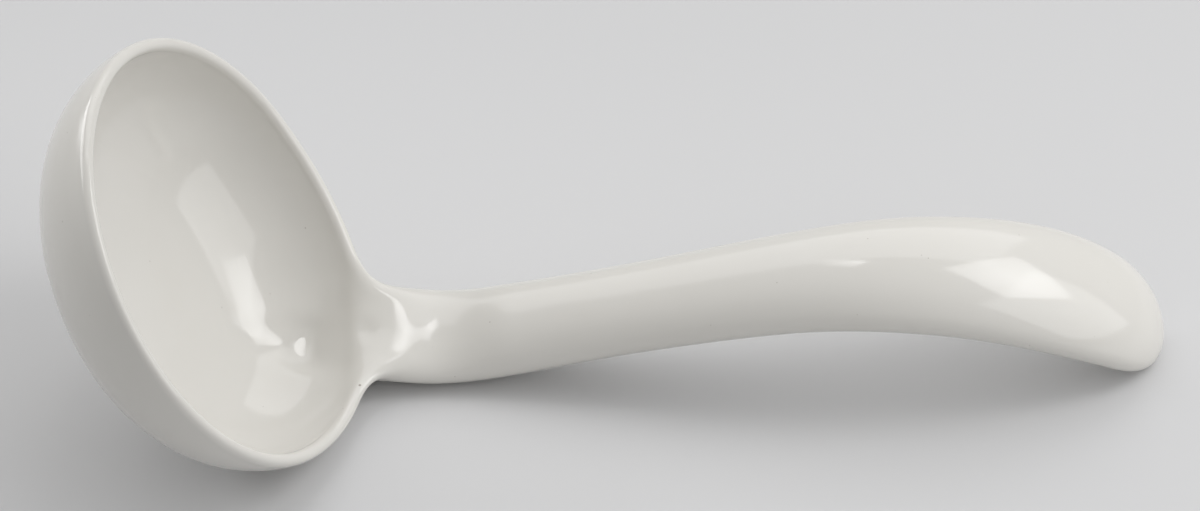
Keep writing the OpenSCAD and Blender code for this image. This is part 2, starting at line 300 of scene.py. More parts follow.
@dataclass
class Handle:
    """The solid oval handle, from its root on the bowl's wall to its rounded tip.

    Lengths are in millimetres and angles in degrees.

    Attributes:
        length: Length of the middle line from neck to tip.
        neck_reach: Distance from the bowl's axis to the middle of the neck.
        neck_rise: Height of the middle of the neck above the rim.
        shares: The stations, as shares of the length.
        slopes: Slope of the middle line at each station.
        widths: Width at each station.
        thicknesses: Thickness at each station.
        neck_dip: How far the upper face dips at the neck.
        neck_dip_reach: Distance along the handle over which the dip fades out.
        tip_length: Length of the rounded end.
        tip_squareness: Squareness of the rounded end: 2 is a true oval.
        root_slope: Slope of the middle line behind the neck.
        root_bend: Distance over which the root bends to that slope.
        root_length: How far the middle line runs on behind the neck.
        root_taper_start: Distance behind the neck at which the root gets thinner.
        root_taper: How fast it does.
        stop_step: Distance between the stops along the middle line.
        core: Share of the section inside which a distance is only roughly known.
        core_depth: What it is taken as there, as a share of half the thickness.
        slope_at: The slopes as a smooth curve.
        width_at: The widths as a smooth curve.
        thickness_at: The thicknesses as a smooth curve.
        stops: Distance, place and slope at each stop.
    """

    length: float = 121.7
    neck_reach: float = 38.1
    neck_rise: float = 6.6
    shares: tuple[float, ...] = (0.0, 0.105, 0.28, 0.475, 0.667, 0.842, 1.0)
    slopes: tuple[float, ...] = (41.0, 67.0, 70.0, 66.0, 46.0, 23.0, -5.0)
    widths: tuple[float, ...] = (16.0, 15.1, 14.8, 16.6, 20.0, 21.2, 17.0)
    thicknesses: tuple[float, ...] = (10.6, 9.9, 9.4, 9.7, 10.3, 9.8, 7.9)
    neck_dip: float = 2.4
    neck_dip_reach: float = 16.0
    tip_length: float = 11.4
    tip_squareness: float = 2.4
    root_slope: float = 51.0
    root_bend: float = 8.0
    root_length: float = 26.0
    root_taper_start: float = 12.0
    root_taper: float = 0.025
    stop_step: float = 1.0
    core: float = 0.2
    core_depth: float = 0.8
    slope_at: SmoothCurve = field(init=False)
    width_at: SmoothCurve = field(init=False)
    thickness_at: SmoothCurve = field(init=False)
    stops: list[tuple[float, Vector, float]] = field(init=False)

    def __post_init__(self) -> None:
        """Work out the curves and the stops along the middle line."""
        stations = tuple(share * self.length for share in self.shares)
        self.slope_at = SmoothCurve(stations, self.slopes)
        self.width_at = SmoothCurve(stations, self.widths)
        self.thickness_at = SmoothCurve(stations, self.thicknesses)
        neck = Vector((self.neck_reach, 0.0, self.neck_rise))
        ahead = self._walk(neck, self.length, self.stop_step)
        back = self._walk(neck, self.root_length, -self.stop_step)
        self.stops = list(reversed(back[1:])) + ahead

    def _walk(self, start: Vector, reach: float, step: float) -> list[tuple[float, Vector, float]]:
        """Walk along the middle line.

        Args:
            start: Where to start.
            reach: How far to walk.
            step: Length of a step, less than 0 for a walk backwards.

        Returns:
            The distance, the place and the slope at each stop.
        """
        least_step = 1e-6
        stops = [(0.0, start, self.slope(0.0))]
        while abs(stops[-1][0]) < reach - least_step:
            s, p, _ = stops[-1]
            pace = math.copysign(min(abs(step), reach - abs(s)), step)
            p = p + pace * self.direction(self.slope(s + pace / 2))
            stops.append((s + pace, p, self.slope(s + pace)))
        return stops

    @staticmethod
    def direction(slope: float) -> Vector:
        """Return the direction along the handle at a slope in degrees."""
        return Vector((math.cos(math.radians(slope)), 0.0, math.sin(math.radians(slope))))

    @staticmethod
    def across(slope: float) -> Vector:
        """Return the direction through the handle's thickness, towards its upper face."""
        return Vector((-math.sin(math.radians(slope)), 0.0, math.cos(math.radians(slope))))

    def slope(self, s: float) -> float:
        """Return the slope of the middle line.

        Args:
            s: Distance from the neck, less than 0 along the root behind it.

        Returns:
            The slope in degrees.
        """
        if s >= 0.0:
            return self.slope_at.at(s)
        lean = self.root_slope - self.slopes[0]
        return self.slopes[0] + lean * smooth_step(-s / self.root_bend)

    def half_thickness(self, s: float) -> float:
        """Return half of the full thickness at distance s, tapered at the end of the root."""
        past = max(0.0, -self.root_taper_start - s)
        return self.thickness_at.at(s) / 2 - self.root_taper * past * past

    def upper_half(self, s: float) -> float:
        """Return the thickness above the middle line: the neck's upper face dips to the bowl."""
        return self.half_thickness(s) - self.neck_dip * (1.0 - smooth_step(s / self.neck_dip_reach))

    def rounding(self, s: float) -> float:
        """Return the share of the full section that is left at distance s in the rounded end."""
        g = max(0.0, s - self.length + self.tip_length) / self.tip_length
        return max(0.0, 1.0 - g**self.tip_squareness) ** (1.0 / self.tip_squareness)

    def middle(self, s: float) -> tuple[Vector, float]:
        """Find a place on the middle line.

        Args:
            s: Distance from the neck.

        Returns:
            The place and the slope there.
        """
        first = self.stops[0][0]
        i = min(len(self.stops) - 2, max(0, int((s - first) / self.stop_step)))
        s0, p0, _ = self.stops[i]
        s1, p1, _ = self.stops[i + 1]
        t = (s - s0) / (s1 - s0)
        return p0.lerp(p1, t), self.slope(s)

    def point(self, s: float, turn: float, share: float = 1.0) -> Vector:
        """Return a point of the handle.

        Args:
            s: Distance along the middle line.
            turn: Angle round the section, 0 at the +Y edge and 90 on the upper face.
            share: Share of the way from the middle line to the surface.

        Returns:
            The point.
        """
        middle, slope = self.middle(s)
        size = share * self.rounding(s)
        y = self.width_at.at(s) / 2 * size * math.cos(math.radians(turn))
        rise = math.sin(math.radians(turn))
        n = (self.upper_half(s) if rise > 0.0 else self.half_thickness(s)) * size * rise
        return middle + Vector((0.0, y, 0.0)) + n * self.across(slope)

    def distance(self, p: Vector) -> tuple[float, float]:
        """Measure a point near the neck against the oval bar.

        Args:
            p: The point.

        Returns:
            The distance from the bar's surface and the height above its middle line.
        """
        # The stops behind the neck, and as many ahead of it
        near = self.stops[: int(2 * self.root_length / self.stop_step)]
        s0, c, slope = min(near, key=lambda stop: (p.x - stop[1].x) ** 2 + (p.z - stop[1].z) ** 2)
        away = p - c
        s = s0 + away.dot(self.direction(slope))
        n = away.dot(self.across(slope))
        a = self.width_at.at(s) / 2
        b = self.upper_half(s) if n > 0.0 else self.half_thickness(s)
        f = math.hypot(p.y / a, n / b)
        if f < self.core:
            return -self.core_depth * b, n
        return (f - 1.0) * f / math.hypot(p.y / a**2, n / b**2), n


@dataclass(frozen=True)
class Lie:
    """How the ladle lies on the table.

    Attributes:
        roll: Turn about the X axis, in degrees, which comes first.
        tip_up: Turn about the Y axis.
        turn: Turn about the Z axis, which comes last.
        place: Where the middle of the rim comes to lie, in millimetres.
    """

    roll: float = 28.11
    tip_up: float = 49.76
    turn: float = 23.9
    place: tuple[float, float, float] = (-56.99, -0.22, 31.31)

    def matrix(self) -> Matrix:
        """Return the move from the bowl's frame in millimetres to the table in metres."""
        angles = Euler([math.radians(a) for a in (self.roll, self.tip_up, self.turn)])
        place = Matrix.Translation(Vector(self.place) * METRES)
        return place @ angles.to_matrix().to_4x4() @ Matrix.Scale(METRES, 4)


@dataclass
class LadleSkin:
    """The smooth skin of the whole ladle, made as a cage of quads and then subdivided.

    Lengths are in millimetres and angles in degrees.

    Attributes:
        bowl: The bowl's sizes.
        handle: The handle's sizes.
        columns: Number of columns round the bowl.
        wall_rows: Number of rows down each side of the wall.
        wall_crowding: How much closer the rows stand under the lip than at the bottom.
        lip_rows: Number of rows over the lip.
        last_wall_turn: Turn down the wall at the last row.
        bottom_rounds: How often the grid of the bottom is evened out.
        neck_columns: Number of the bowl's columns that the handle grows out of.
        side_turn: Turn up to which a ring's side edge reaches above and below its middle.
        root_rings: Number of rings from the bowl to the bar.
        root_end: Distance along the handle at which the bar starts.
        settled_reach: Distance up to which the rings are settled on the blended surface.
        bar_spacing: Distance between the rings of the bar.
        tip_rings: Number of rings round the tip.
        tip_reach: How far the last ring reaches into the rounded end, as a share.
        tip_rounds: How often the grid of the tip is evened out.
        wall_fillet: Size of the fillet between the bar's lower side and the wall.
        crest_fillet: Size of the fillet between its upper side and the crest.
        fillet_start: Height above the bar's middle line at which the fillet starts to grow.
        fillet_sweep: Height over which it grows.
        edge_round: Size of the round from the hollow over into the neck.
        edge_angle: Angle round the rim at which the round is back to the lip's own.
        edge_sweep: Angle over which it gets there.
        blend_angle: How far round the rim the wall is settled on the blended surface.
        blend_depth: How far below the crest it is.
        even_angle: How far round the rim the wall is evened out.
        even_sweep: Angle over which that fades in.
        even_depth: How far below the crest the wall is evened out.
        even_rise: Height over which that fades in.
        even_rounds: How often the neck is evened out.
        settle_rounds: How many moves a vertex gets to reach the surface.
        settle_move: The longest of them.
        near_enough: How far off the surface a vertex may stay.
        least_growth: Least squared growth of the distance that a move reckons with.
        lift_rounds: How many steps a vertex gets to leave the root.
        lift_step: Length of such a step.
        lift_depth: How deep in the root it may stay.
        fit_rounds: How often the cage is fitted.
        levels: Levels of subdivision.
        grid: The bowl's vertices by row and column.
    """

    bowl: Bowl = field(default_factory=Bowl)
    handle: Handle = field(default_factory=Handle)
    columns: int = 72
    wall_rows: int = 12
    wall_crowding: float = 1.3
    lip_rows: int = 4
    last_wall_turn: float = 80.0
    bottom_rounds: int = 60
    neck_columns: int = 6
    side_turn: float = 30.0
    root_rings: int = 6
    root_end: float = 5.0
    settled_reach: float = 22.0
    bar_spacing: float = 3.2
    tip_rings: int = 6
    tip_reach: float = 0.88
    tip_rounds: int = 10
    wall_fillet: float = 1.5
    crest_fillet: float = 5.5
    fillet_start: float = -1.0
    fillet_sweep: float = 3.0
    edge_round: float = 5.0
    edge_angle: float = 22.0
    edge_sweep: float = 20.0
    blend_angle: float = 36.0
    blend_depth: float = 15.0
    even_angle: float = 32.0
    even_sweep: float = 14.0
    even_depth: float = 12.0
    even_rise: float = 6.0
    even_rounds: int = 30
    settle_rounds: int = 8
    settle_move: float = 0.8
    near_enough: float = 0.002
    least_growth: float = 0.2
    lift_rounds: int = 60
    lift_step: float = 0.2
    lift_depth: float = 0.02
    fit_rounds: int = 10
    levels: int = 2
    grid: dict[tuple[int, int], BMVert] = field(init=False, default_factory=dict)

    @property
    def outer_rim(self) -> int:
        """The row along the outer side of the rim; the inner side's is wall_rows."""
        return self.wall_rows + self.lip_rows

    def profile(self) -> list[tuple[float, float]]:
        """Work out the bowl's profile.

        Returns:
            The radius and height of each row, from the inner bottom over the lip and out.
        """
        turns = [
            self.last_wall_turn * (i / self.wall_rows) ** self.wall_crowding
            for i in range(self.wall_rows + 1)
        ]
        inner = [self.bowl.wall_point(t, inside=True) for t in reversed(turns)]
        outer = [self.bowl.wall_point(t, inside=False) for t in turns]
        lip = []
        for i in range(1, self.lip_rows):
            a = math.radians(HALF_TURN - HALF_TURN * i / self.lip_rows)
            r = self.bowl.lip_middle + self.bowl.lip_round * math.cos(a)
            lip.append((r, self.bowl.lip_round * (math.sin(a) - 1.0)))
        return inner + lip + outer

    def turned_bowl(self, bm: BMesh) -> None:
        """Spin the profile into a bowl that is open at both poles, and note its grid.

        Args:
            bm: The cage.
        """
        profile = self.profile()
        line = [bm.verts.new((r, 0.0, z)) for r, z in profile]
        edges = [bm.edges.new(pair) for pair in zip(line, line[1:])]
        bmesh.ops.spin(
            bm,
            geom=line + edges,
            cent=(0.0, 0.0, 0.0),
            axis=(0.0, 0.0, 1.0),
            dvec=(0.0, 0.0, 0.0),
            angle=math.radians(WHOLE_TURN),
            steps=self.columns,
            use_merge=True,
            use_duplicate=False,
        )
        step = WHOLE_TURN / self.columns
        for v in bm.verts:
            r = math.hypot(v.co.x, v.co.y)
            row = min(
                range(len(profile)),
                key=lambda i: (profile[i][0] - r) ** 2 + (profile[i][1] - v.co.z) ** 2,
            )
            column = round(round_angle(v.co) / step) % self.columns
            self.grid[row, column] = v

    def close_pole(self, bm: BMesh, row: int, inside: bool) -> None:
        """Close the bottom with a grid of quads that lies on the wall's own curve.

        The grid's border and the row beyond it are evened out too, or its corners would fold.

        Args:
            bm: The cage.
            row: The row of the ring that bounds the grid.
            inside: True for the inner bottom, False for the outer.
        """
        ring = [self.grid[row, c] for c in range(self.columns)]
        quarter = self.columns // 4
        rails = []
        for start in (0, 2 * quarter):
            for k in range(start, start + quarter):
                rails.append(bm.edges.get((ring[k], ring[(k + 1) % self.columns])))
        made = bmesh.ops.grid_fill(bm, edges=rails, mat_nr=0, use_smooth=True)
        next_row = row + 1 if inside else row - 1
        bottom = [v for face in made["faces"] for v in face.verts]
        bottom += [self.grid[next_row, c] for c in range(self.columns)]
        bottom = list(dict.fromkeys(bottom))
        for _ in range(self.bottom_rounds):
            bmesh.ops.smooth_vert(bm, verts=bottom, factor=0.5, use_axis_x=True, use_axis_y=True)
        for v in bottom:
            v.co.z = self.bowl.wall_height(math.hypot(v.co.x, v.co.y), inside)

    def raise_rim(self) -> None:
        """Raise the rim towards the neck and draw the wall's rows up after it."""
        bowl = self.bowl
        for (row, _), v in self.grid.items():
            rise = bowl.rise(round_angle(v.co))
            if rise <= 0.0:
                continue
            z = v.co.z + rise * smooth_step(1.0 + (v.co.z + bowl.lip_round) / bowl.rise_depth)
            if row <= self.wall_rows or row >= self.outer_rim:
                r = bowl.wall_radius(z, inside=row <= self.wall_rows)
                flat = Vector((v.co.x, v.co.y)).normalized() * r
                v.co = Vector((flat.x, flat.y, z))
            else:
                v.co.z = z

    def open_neck(self, bm: BMesh) -> list[BMVert]:
        """Open the lip where the handle grows out of it.

        Args:
            bm: The cage.

        Returns:
            The vertices round the opening, from the +Y corner along the inner side.
        """
        half = self.neck_columns // 2
        inner_rim = self.wall_rows
        doomed = []
        for row in range(inner_rim, self.outer_rim):
            for c in range(-half, half):
                corners = [
                    self.grid[row + i, (c + j) % self.columns] for i in (0, 1) for j in (0, 1)
                ]
                doomed += [f for f in corners[0].link_faces if set(f.verts) == set(corners)]
        loop = [self.grid[inner_rim, c % self.columns] for c in range(half, -half - 1, -1)]
        lip = range(inner_rim + 1, self.outer_rim)
        loop += [self.grid[row, -half % self.columns] for row in lip]
        loop += [self.grid[self.outer_rim, c % self.columns] for c in range(-half, half + 1)]
        loop += [self.grid[row, half] for row in reversed(lip)]
        bmesh.ops.delete(bm, geom=doomed, context="FACES")
        return loop

    def ring_turns(self) -> list[float]:
        """Spread the vertices of a ring round the handle's section.

        Returns:
            The turn of each vertex.
        """
        side = self.side_turn
        face = HALF_TURN - 2 * side
        n = self.neck_columns
        m = self.lip_rows
        turns = [side + face * k / n for k in range(n)]
        turns += [HALF_TURN - side + 2 * side * k / m for k in range(m)]
        turns += [HALF_TURN + side + face * k / n for k in range(n)]
        turns += [WHOLE_TURN - side + 2 * side * k / m for k in range(m)]
        return turns

    def next_ring(self, bm: BMesh, ring: list[BMVert], places: list[Vector]) -> list[BMVert]:
        """Extrude a ring of the handle.

        Args:
            bm: The cage.
            ring: The vertices of the ring.
            places: Where the new ring's vertices go.

        Returns:
            The new ring.
        """
        n = len(ring)
        edges = [bm.edges.get((ring[k], ring[(k + 1) % n])) for k in range(n)]
        made = bmesh.ops.extrude_edge_only(bm, edges=edges)["geom"]
        fresh = {item for item in made if isinstance(item, BMVert)}
        for face in (item for item in made if isinstance(item, BMFace)):
            face.material_index = Piece.HANDLE.value
        new_ring = []
        for v, place in zip(ring, places):
            twin = next(e.other_vert(v) for e in v.link_edges if e.other_vert(v) in fresh)
            twin.co = place
            new_ring.append(twin)
        return new_ring

    def root_place(self, start: Vector, turn: float, u: float) -> Vector:
        """Find a first place for a vertex of the root.

        Args:
            start: Where its column leaves the bowl.
            turn: Its turn round the handle's section.
            u: Share of the way from the bowl to the bar.

        Returns:
            The place.
        """
        end = self.handle.point(self.root_end, turn)
        reach = (end - start).length
        lean = self.handle.root_slope * (1.0 - math.sin(math.radians(turn))) / 2
        leaving = Vector((math.sin(math.radians(lean)), 0.0, math.cos(math.radians(lean))))
        arriving = self.handle.direction(self.handle.slope(self.root_end))
        return (
            start * (2 * u**3 - 3 * u**2 + 1)
            + end * (3 * u**2 - 2 * u**3)
            + reach * leaving * (u**3 - 2 * u**2 + u)
            + reach * arriving * (u**3 - u**2)
        )

    def grow_handle(self, bm: BMesh, ring: list[BMVert]) -> dict[BMVert, float]:
        """Draw the handle out of the opening, ring by ring, and round its tip.

        Args:
            bm: The cage.
            ring: The vertices round the opening.

        Returns:
            The vertices that are still to be settled on the surface, each with the share of
            the moves that even them out.
        """
        turns = self.ring_turns()
        starts = [v.co.copy() for v in ring]
        root = {}
        for j in range(1, self.root_rings):
            u = j / self.root_rings
            ring = self.next_ring(
                bm, ring, [self.root_place(p, t, u) for p, t in zip(starts, turns)]
            )
            root.update((v, 1.0) for v in ring)
        bar_end = self.handle.length - self.handle.tip_length
        count = round((bar_end - self.root_end) / self.bar_spacing)
        stops = [self.root_end + (bar_end - self.root_end) * i / count for i in range(count)]
        for i in range(self.tip_rings + 1):
            g = self.tip_reach * math.sin(math.radians(QUARTER_TURN * i / self.tip_rings))
            stops.append(bar_end + self.handle.tip_length * g)
        for s in stops:
            ring = self.next_ring(bm, ring, [self.handle.point(s, t) for t in turns])
            if s < self.settled_reach:
                share = smooth_step((self.settled_reach - s) / (self.settled_reach - self.root_end))
                root.update((v, share) for v in ring)
        self.close_tip(bm, ring, stops[-1])
        return root

    def close_tip(self, bm: BMesh, ring: list[BMVert], s_ring: float) -> None:
        """Close the tip with a grid of quads, bulged out to the rounded end.

        Args:
            bm: The cage.
            ring: The vertices of the last ring.
            s_ring: Distance of that ring along the handle.
        """
        n = len(ring)
        m = self.neck_columns
        half = n // 2
        rails = []
        for start in (0, half):
            rails += [bm.edges.get((ring[k], ring[(k + 1) % n])) for k in range(start, start + m)]
        made = bmesh.ops.grid_fill(bm, edges=rails, mat_nr=Piece.HANDLE.value, use_smooth=True)
        for face in made["faces"]:
            face.material_index = Piece.HANDLE.value
        middle = dict.fromkeys(v for face in made["faces"] for v in face.verts)
        middle = [v for v in middle if v not in ring]
        for _ in range(self.tip_rounds):
            bmesh.ops.smooth_vert(
                bm,
                verts=middle,
                factor=0.5,
                use_axis_x=True,
                use_axis_y=True,
                use_axis_z=True,
            )
        h = self.handle
        centre, slope = h.middle(s_ring)
        a = h.width_at.at(s_ring) / 2
        b = h.half_thickness(s_ring)
        for v in middle:
            away = v.co - centre
            n_part = away.dot(h.across(slope))
            f = min(1.0, math.hypot(away.y / a, n_part / b))
            g = (1.0 - f**h.tip_squareness) ** (1.0 / h.tip_squareness)
            s = h.length - h.tip_length + h.tip_length * g
            c, here = h.middle(s)
            v.co = c + Vector((0.0, away.y, 0.0)) + n_part * h.across(here)

    def distance(self, p: Vector) -> float:
        """Measure a point near the neck against the whole ladle.

        Args:
            p: The point.

        Returns:
            The distance from the surface, which is less than 0 in the clay.
        """
        bar, height = self.handle.distance(p)
        upper = smooth_step((height - self.fillet_start) / self.fillet_sweep)
        fillet = self.wall_fillet + upper * (self.crest_fillet - self.wall_fillet)
        body = soft_min(self.bowl.shell(p), bar, fillet)
        middle = smooth_step((self.edge_angle - abs(round_angle(p))) / self.edge_sweep)
        lip = LIP_SOFTNESS * self.bowl.lip_round
        edge = lip + middle * (self.edge_round - lip)
        return soft_max(body, self.bowl.gap(p, inside=True), edge)

    def gradient(self, p: Vector) -> Vector:
        """Find the direction in which the distance grows fastest.

        Args:
            p: The point.

        Returns:
            The growth along each axis.
        """
        here = self.distance(p)
        parts = []
        for axis in range(3):
            q = p.copy()
            q[axis] += GRADIENT_STEP
            parts.append((self.distance(q) - here) / GRADIENT_STEP)
        return Vector(parts)

    def settle(self, v: BMVert) -> None:
        """Move a vertex onto the surface along the steepest way.

        Args:
            v: The vertex.
        """
        for _ in range(self.settle_rounds):
            d = self.distance(v.co)
            if abs(d) < self.near_enough:
                return
            g = self.gradient(v.co)
            size = max(g.length_squared, self.least_growth)
            v.co -= g * (max(-self.settle_move, min(self.settle_move, d)) / size)

    def even_out(self, verts: dict[BMVert, float]) -> None:
        """Spread the vertices of the neck evenly over the surface.

        Args:
            verts: The vertices, each with the share of every move that it makes.
        """
        for _ in range(self.even_rounds):
            places = {}
            for v, share in verts.items():
                near = [e.other_vert(v).co for e in v.link_edges]
                places[v] = v.co.lerp(sum(near, Vector()) / len(near), 0.5 * share)
            for v, place in places.items():
                v.co = place
                self.settle(v)

    def lift_out(self, v: BMVert) -> None:
        """Push a vertex of the outer wall out to the underside of the root over it.

        Args:
            v: The vertex.
        """
        lean = math.radians(self.handle.root_slope)
        angle = math.atan2(v.co.y, v.co.x)
        out = math.sin(lean)
        way = Vector((out * math.cos(angle), out * math.sin(angle), -math.cos(lean)))
        for _ in range(self.lift_rounds):
            if self.distance(v.co) >= -self.lift_depth:
                return
            v.co += way * self.lift_step

    def blend_root(self, root: dict[BMVert, float]) -> None:
        """Settle the root and the wall round it on one smooth surface.

        Args:
            root: The handle's vertices that are still to be settled, each with the share of
                the moves that even them out.
        """
        step = WHOLE_TURN / self.columns
        near = []
        for (row, column), v in self.grid.items():
            angle = step * min(column, self.columns - column)
            if v.is_valid and angle <= self.blend_angle and v.co.z > -self.blend_depth:
                near.append(v)
                if row >= self.outer_rim:
                    self.lift_out(v)
        for v in near + list(root):
            self.settle(v)
        shares = dict(root)
        for v in near:
            inward = (self.even_angle - abs(round_angle(v.co))) / self.even_sweep
            upward = (v.co.z + self.even_depth) / self.even_rise
            share = smooth_step(inward) * smooth_step(upward)
            if share > 0.0:
                shares[v] = share
        self.even_out(shares)

    @staticmethod
    def limit(v: BMVert) -> Vector:
        """Find where a vertex of the cage ends up on the subdivided surface.

        Args:
            v: The vertex.

        Returns:
            The place.
        """
        n = len(v.link_edges)
        edge_sum = sum((e.other_vert(v).co for e in v.link_edges), Vector())
        far_sum = Vector()
        for face in v.link_faces:
            corners = list(face.verts)
            far_sum += corners[(corners.index(v) + 2) % 4].co
        return (n * n * v.co + 4 * edge_sum + far_sum) / (n * (n + 5))

    def fit_cage(self, bm: BMesh) -> None:
        """Move the cage outwards so that the subdivided surface passes through its points.

        Args:
            bm: The cage.
        """
        targets = [(v, v.co.copy()) for v in bm.verts]
        for _ in range(self.fit_rounds):
            moves = [(v, target - self.limit(v)) for v, target in targets]
            for v, move in moves:
                v.co += move

    def make_cage(self, lie: Lie) -> bpy.types.Mesh:
        """Build the cage and lay it on the table.

        Args:
            lie: How the ladle lies.

        Returns:
            The cage, whose faces carry their piece as material index.
        """
        bm = bmesh.new()
        self.turned_bowl(bm)
        self.close_pole(bm, 0, inside=True)
        self.close_pole(bm, self.outer_rim + self.wall_rows, inside=False)
        self.raise_rim()
        loop = self.open_neck(bm)
        outer = {self.grid[self.outer_rim, c] for c in range(self.columns)}
        for v in loop:
            if v in outer:
                self.lift_out(v)
        root = self.grow_handle(bm, loop)
        self.blend_root(root)
        self.fit_cage(bm)
        bmesh.ops.transform(bm, matrix=lie.matrix(), verts=bm.verts)
        bmesh.ops.recalc_face_normals(bm, faces=bm.faces)
        for face in bm.faces:
            face.smooth = True
        cage = bpy.data.meshes.new("ladle_cage")
        bm.to_mesh(cage)
        bm.free()
        return cage

    def make(self, lie: Lie) -> bpy.types.Mesh:
        """Build the cage and subdivide it.

        Args:
            lie: How the ladle lies.

        Returns:
            The mesh of the whole skin, whose faces carry their piece as material index.
        """
        cage = self.make_cage(lie)
        holder = bpy.data.objects.new("ladle_cage", cage)
        bpy.context.scene.collection.objects.link(holder)
        finer = holder.modifiers.new("smooth", "SUBSURF")
        finer.levels = self.levels
        finer.render_levels = self.levels
        graph = bpy.context.evaluated_depsgraph_get()
        skin = bpy.data.meshes.new_from_object(holder.evaluated_get(graph))
        bpy.data.objects.remove(holder)
        bpy.data.meshes.remove(cage)
        return skin


def part_skin(skin: bpy.types.Mesh, piece: Piece, name: str) -> bpy.types.Object:
    """Cut one piece out of the skin and close it at the joint.

    Args:
        skin: The mesh of the whole ladle.
        piece: The piece to keep.
        name: Name of the new object.

    Returns:
        The object, whose shading runs on over the joint into the other piece.
    """
    bm = bmesh.new()
    bm.from_mesh(skin)
    skin_normal = bm.verts.layers.float_vector.new("skin_normal")
    bm.normal_update()
    for v in bm.verts:
        v[skin_normal] = v.normal
    others = [f for f in bm.faces if f.material_index != piece.value]
    bmesh.ops.delete(bm, geom=others, context="FACES")
    rim = [e for e in bm.edges if e.is_boundary]
    lid = bmesh.ops.holes_fill(bm, edges=rim, sides=0)["faces"]
    lid = bmesh.ops.triangulate(bm, faces=lid)["faces"]
    bmesh.ops.recalc_face_normals(bm, faces=bm.faces)
    hidden = set(lid)
    normals = []
    bm.faces.index_update()
    for face in bm.faces:
        face.material_index = 0
        for corner in face.loops:
            normals.append(tuple(face.normal if face in hidden else corner.vert[skin_normal]))
    mesh = bpy.data.meshes.new(name)
    bm.to_mesh(mesh)
    bm.free()
    mesh.normals_split_custom_set(normals)
    obj = bpy.data.objects.new(name, mesh)
    bpy.context.scene.collection.objects.link(obj)
    return obj


@dataclass(frozen=True)
class Spots:
    """One kind of small dark spot in the glaze.

    Attributes:
        spacing: The distance between spots, in metres.
        core: The radius of a spot's dark middle.
        edge: The radius at which it has faded out.
        strength: How much of its own colour shows in its middle.
    """

    spacing: float
    core: float
    edge: float
    strength: float


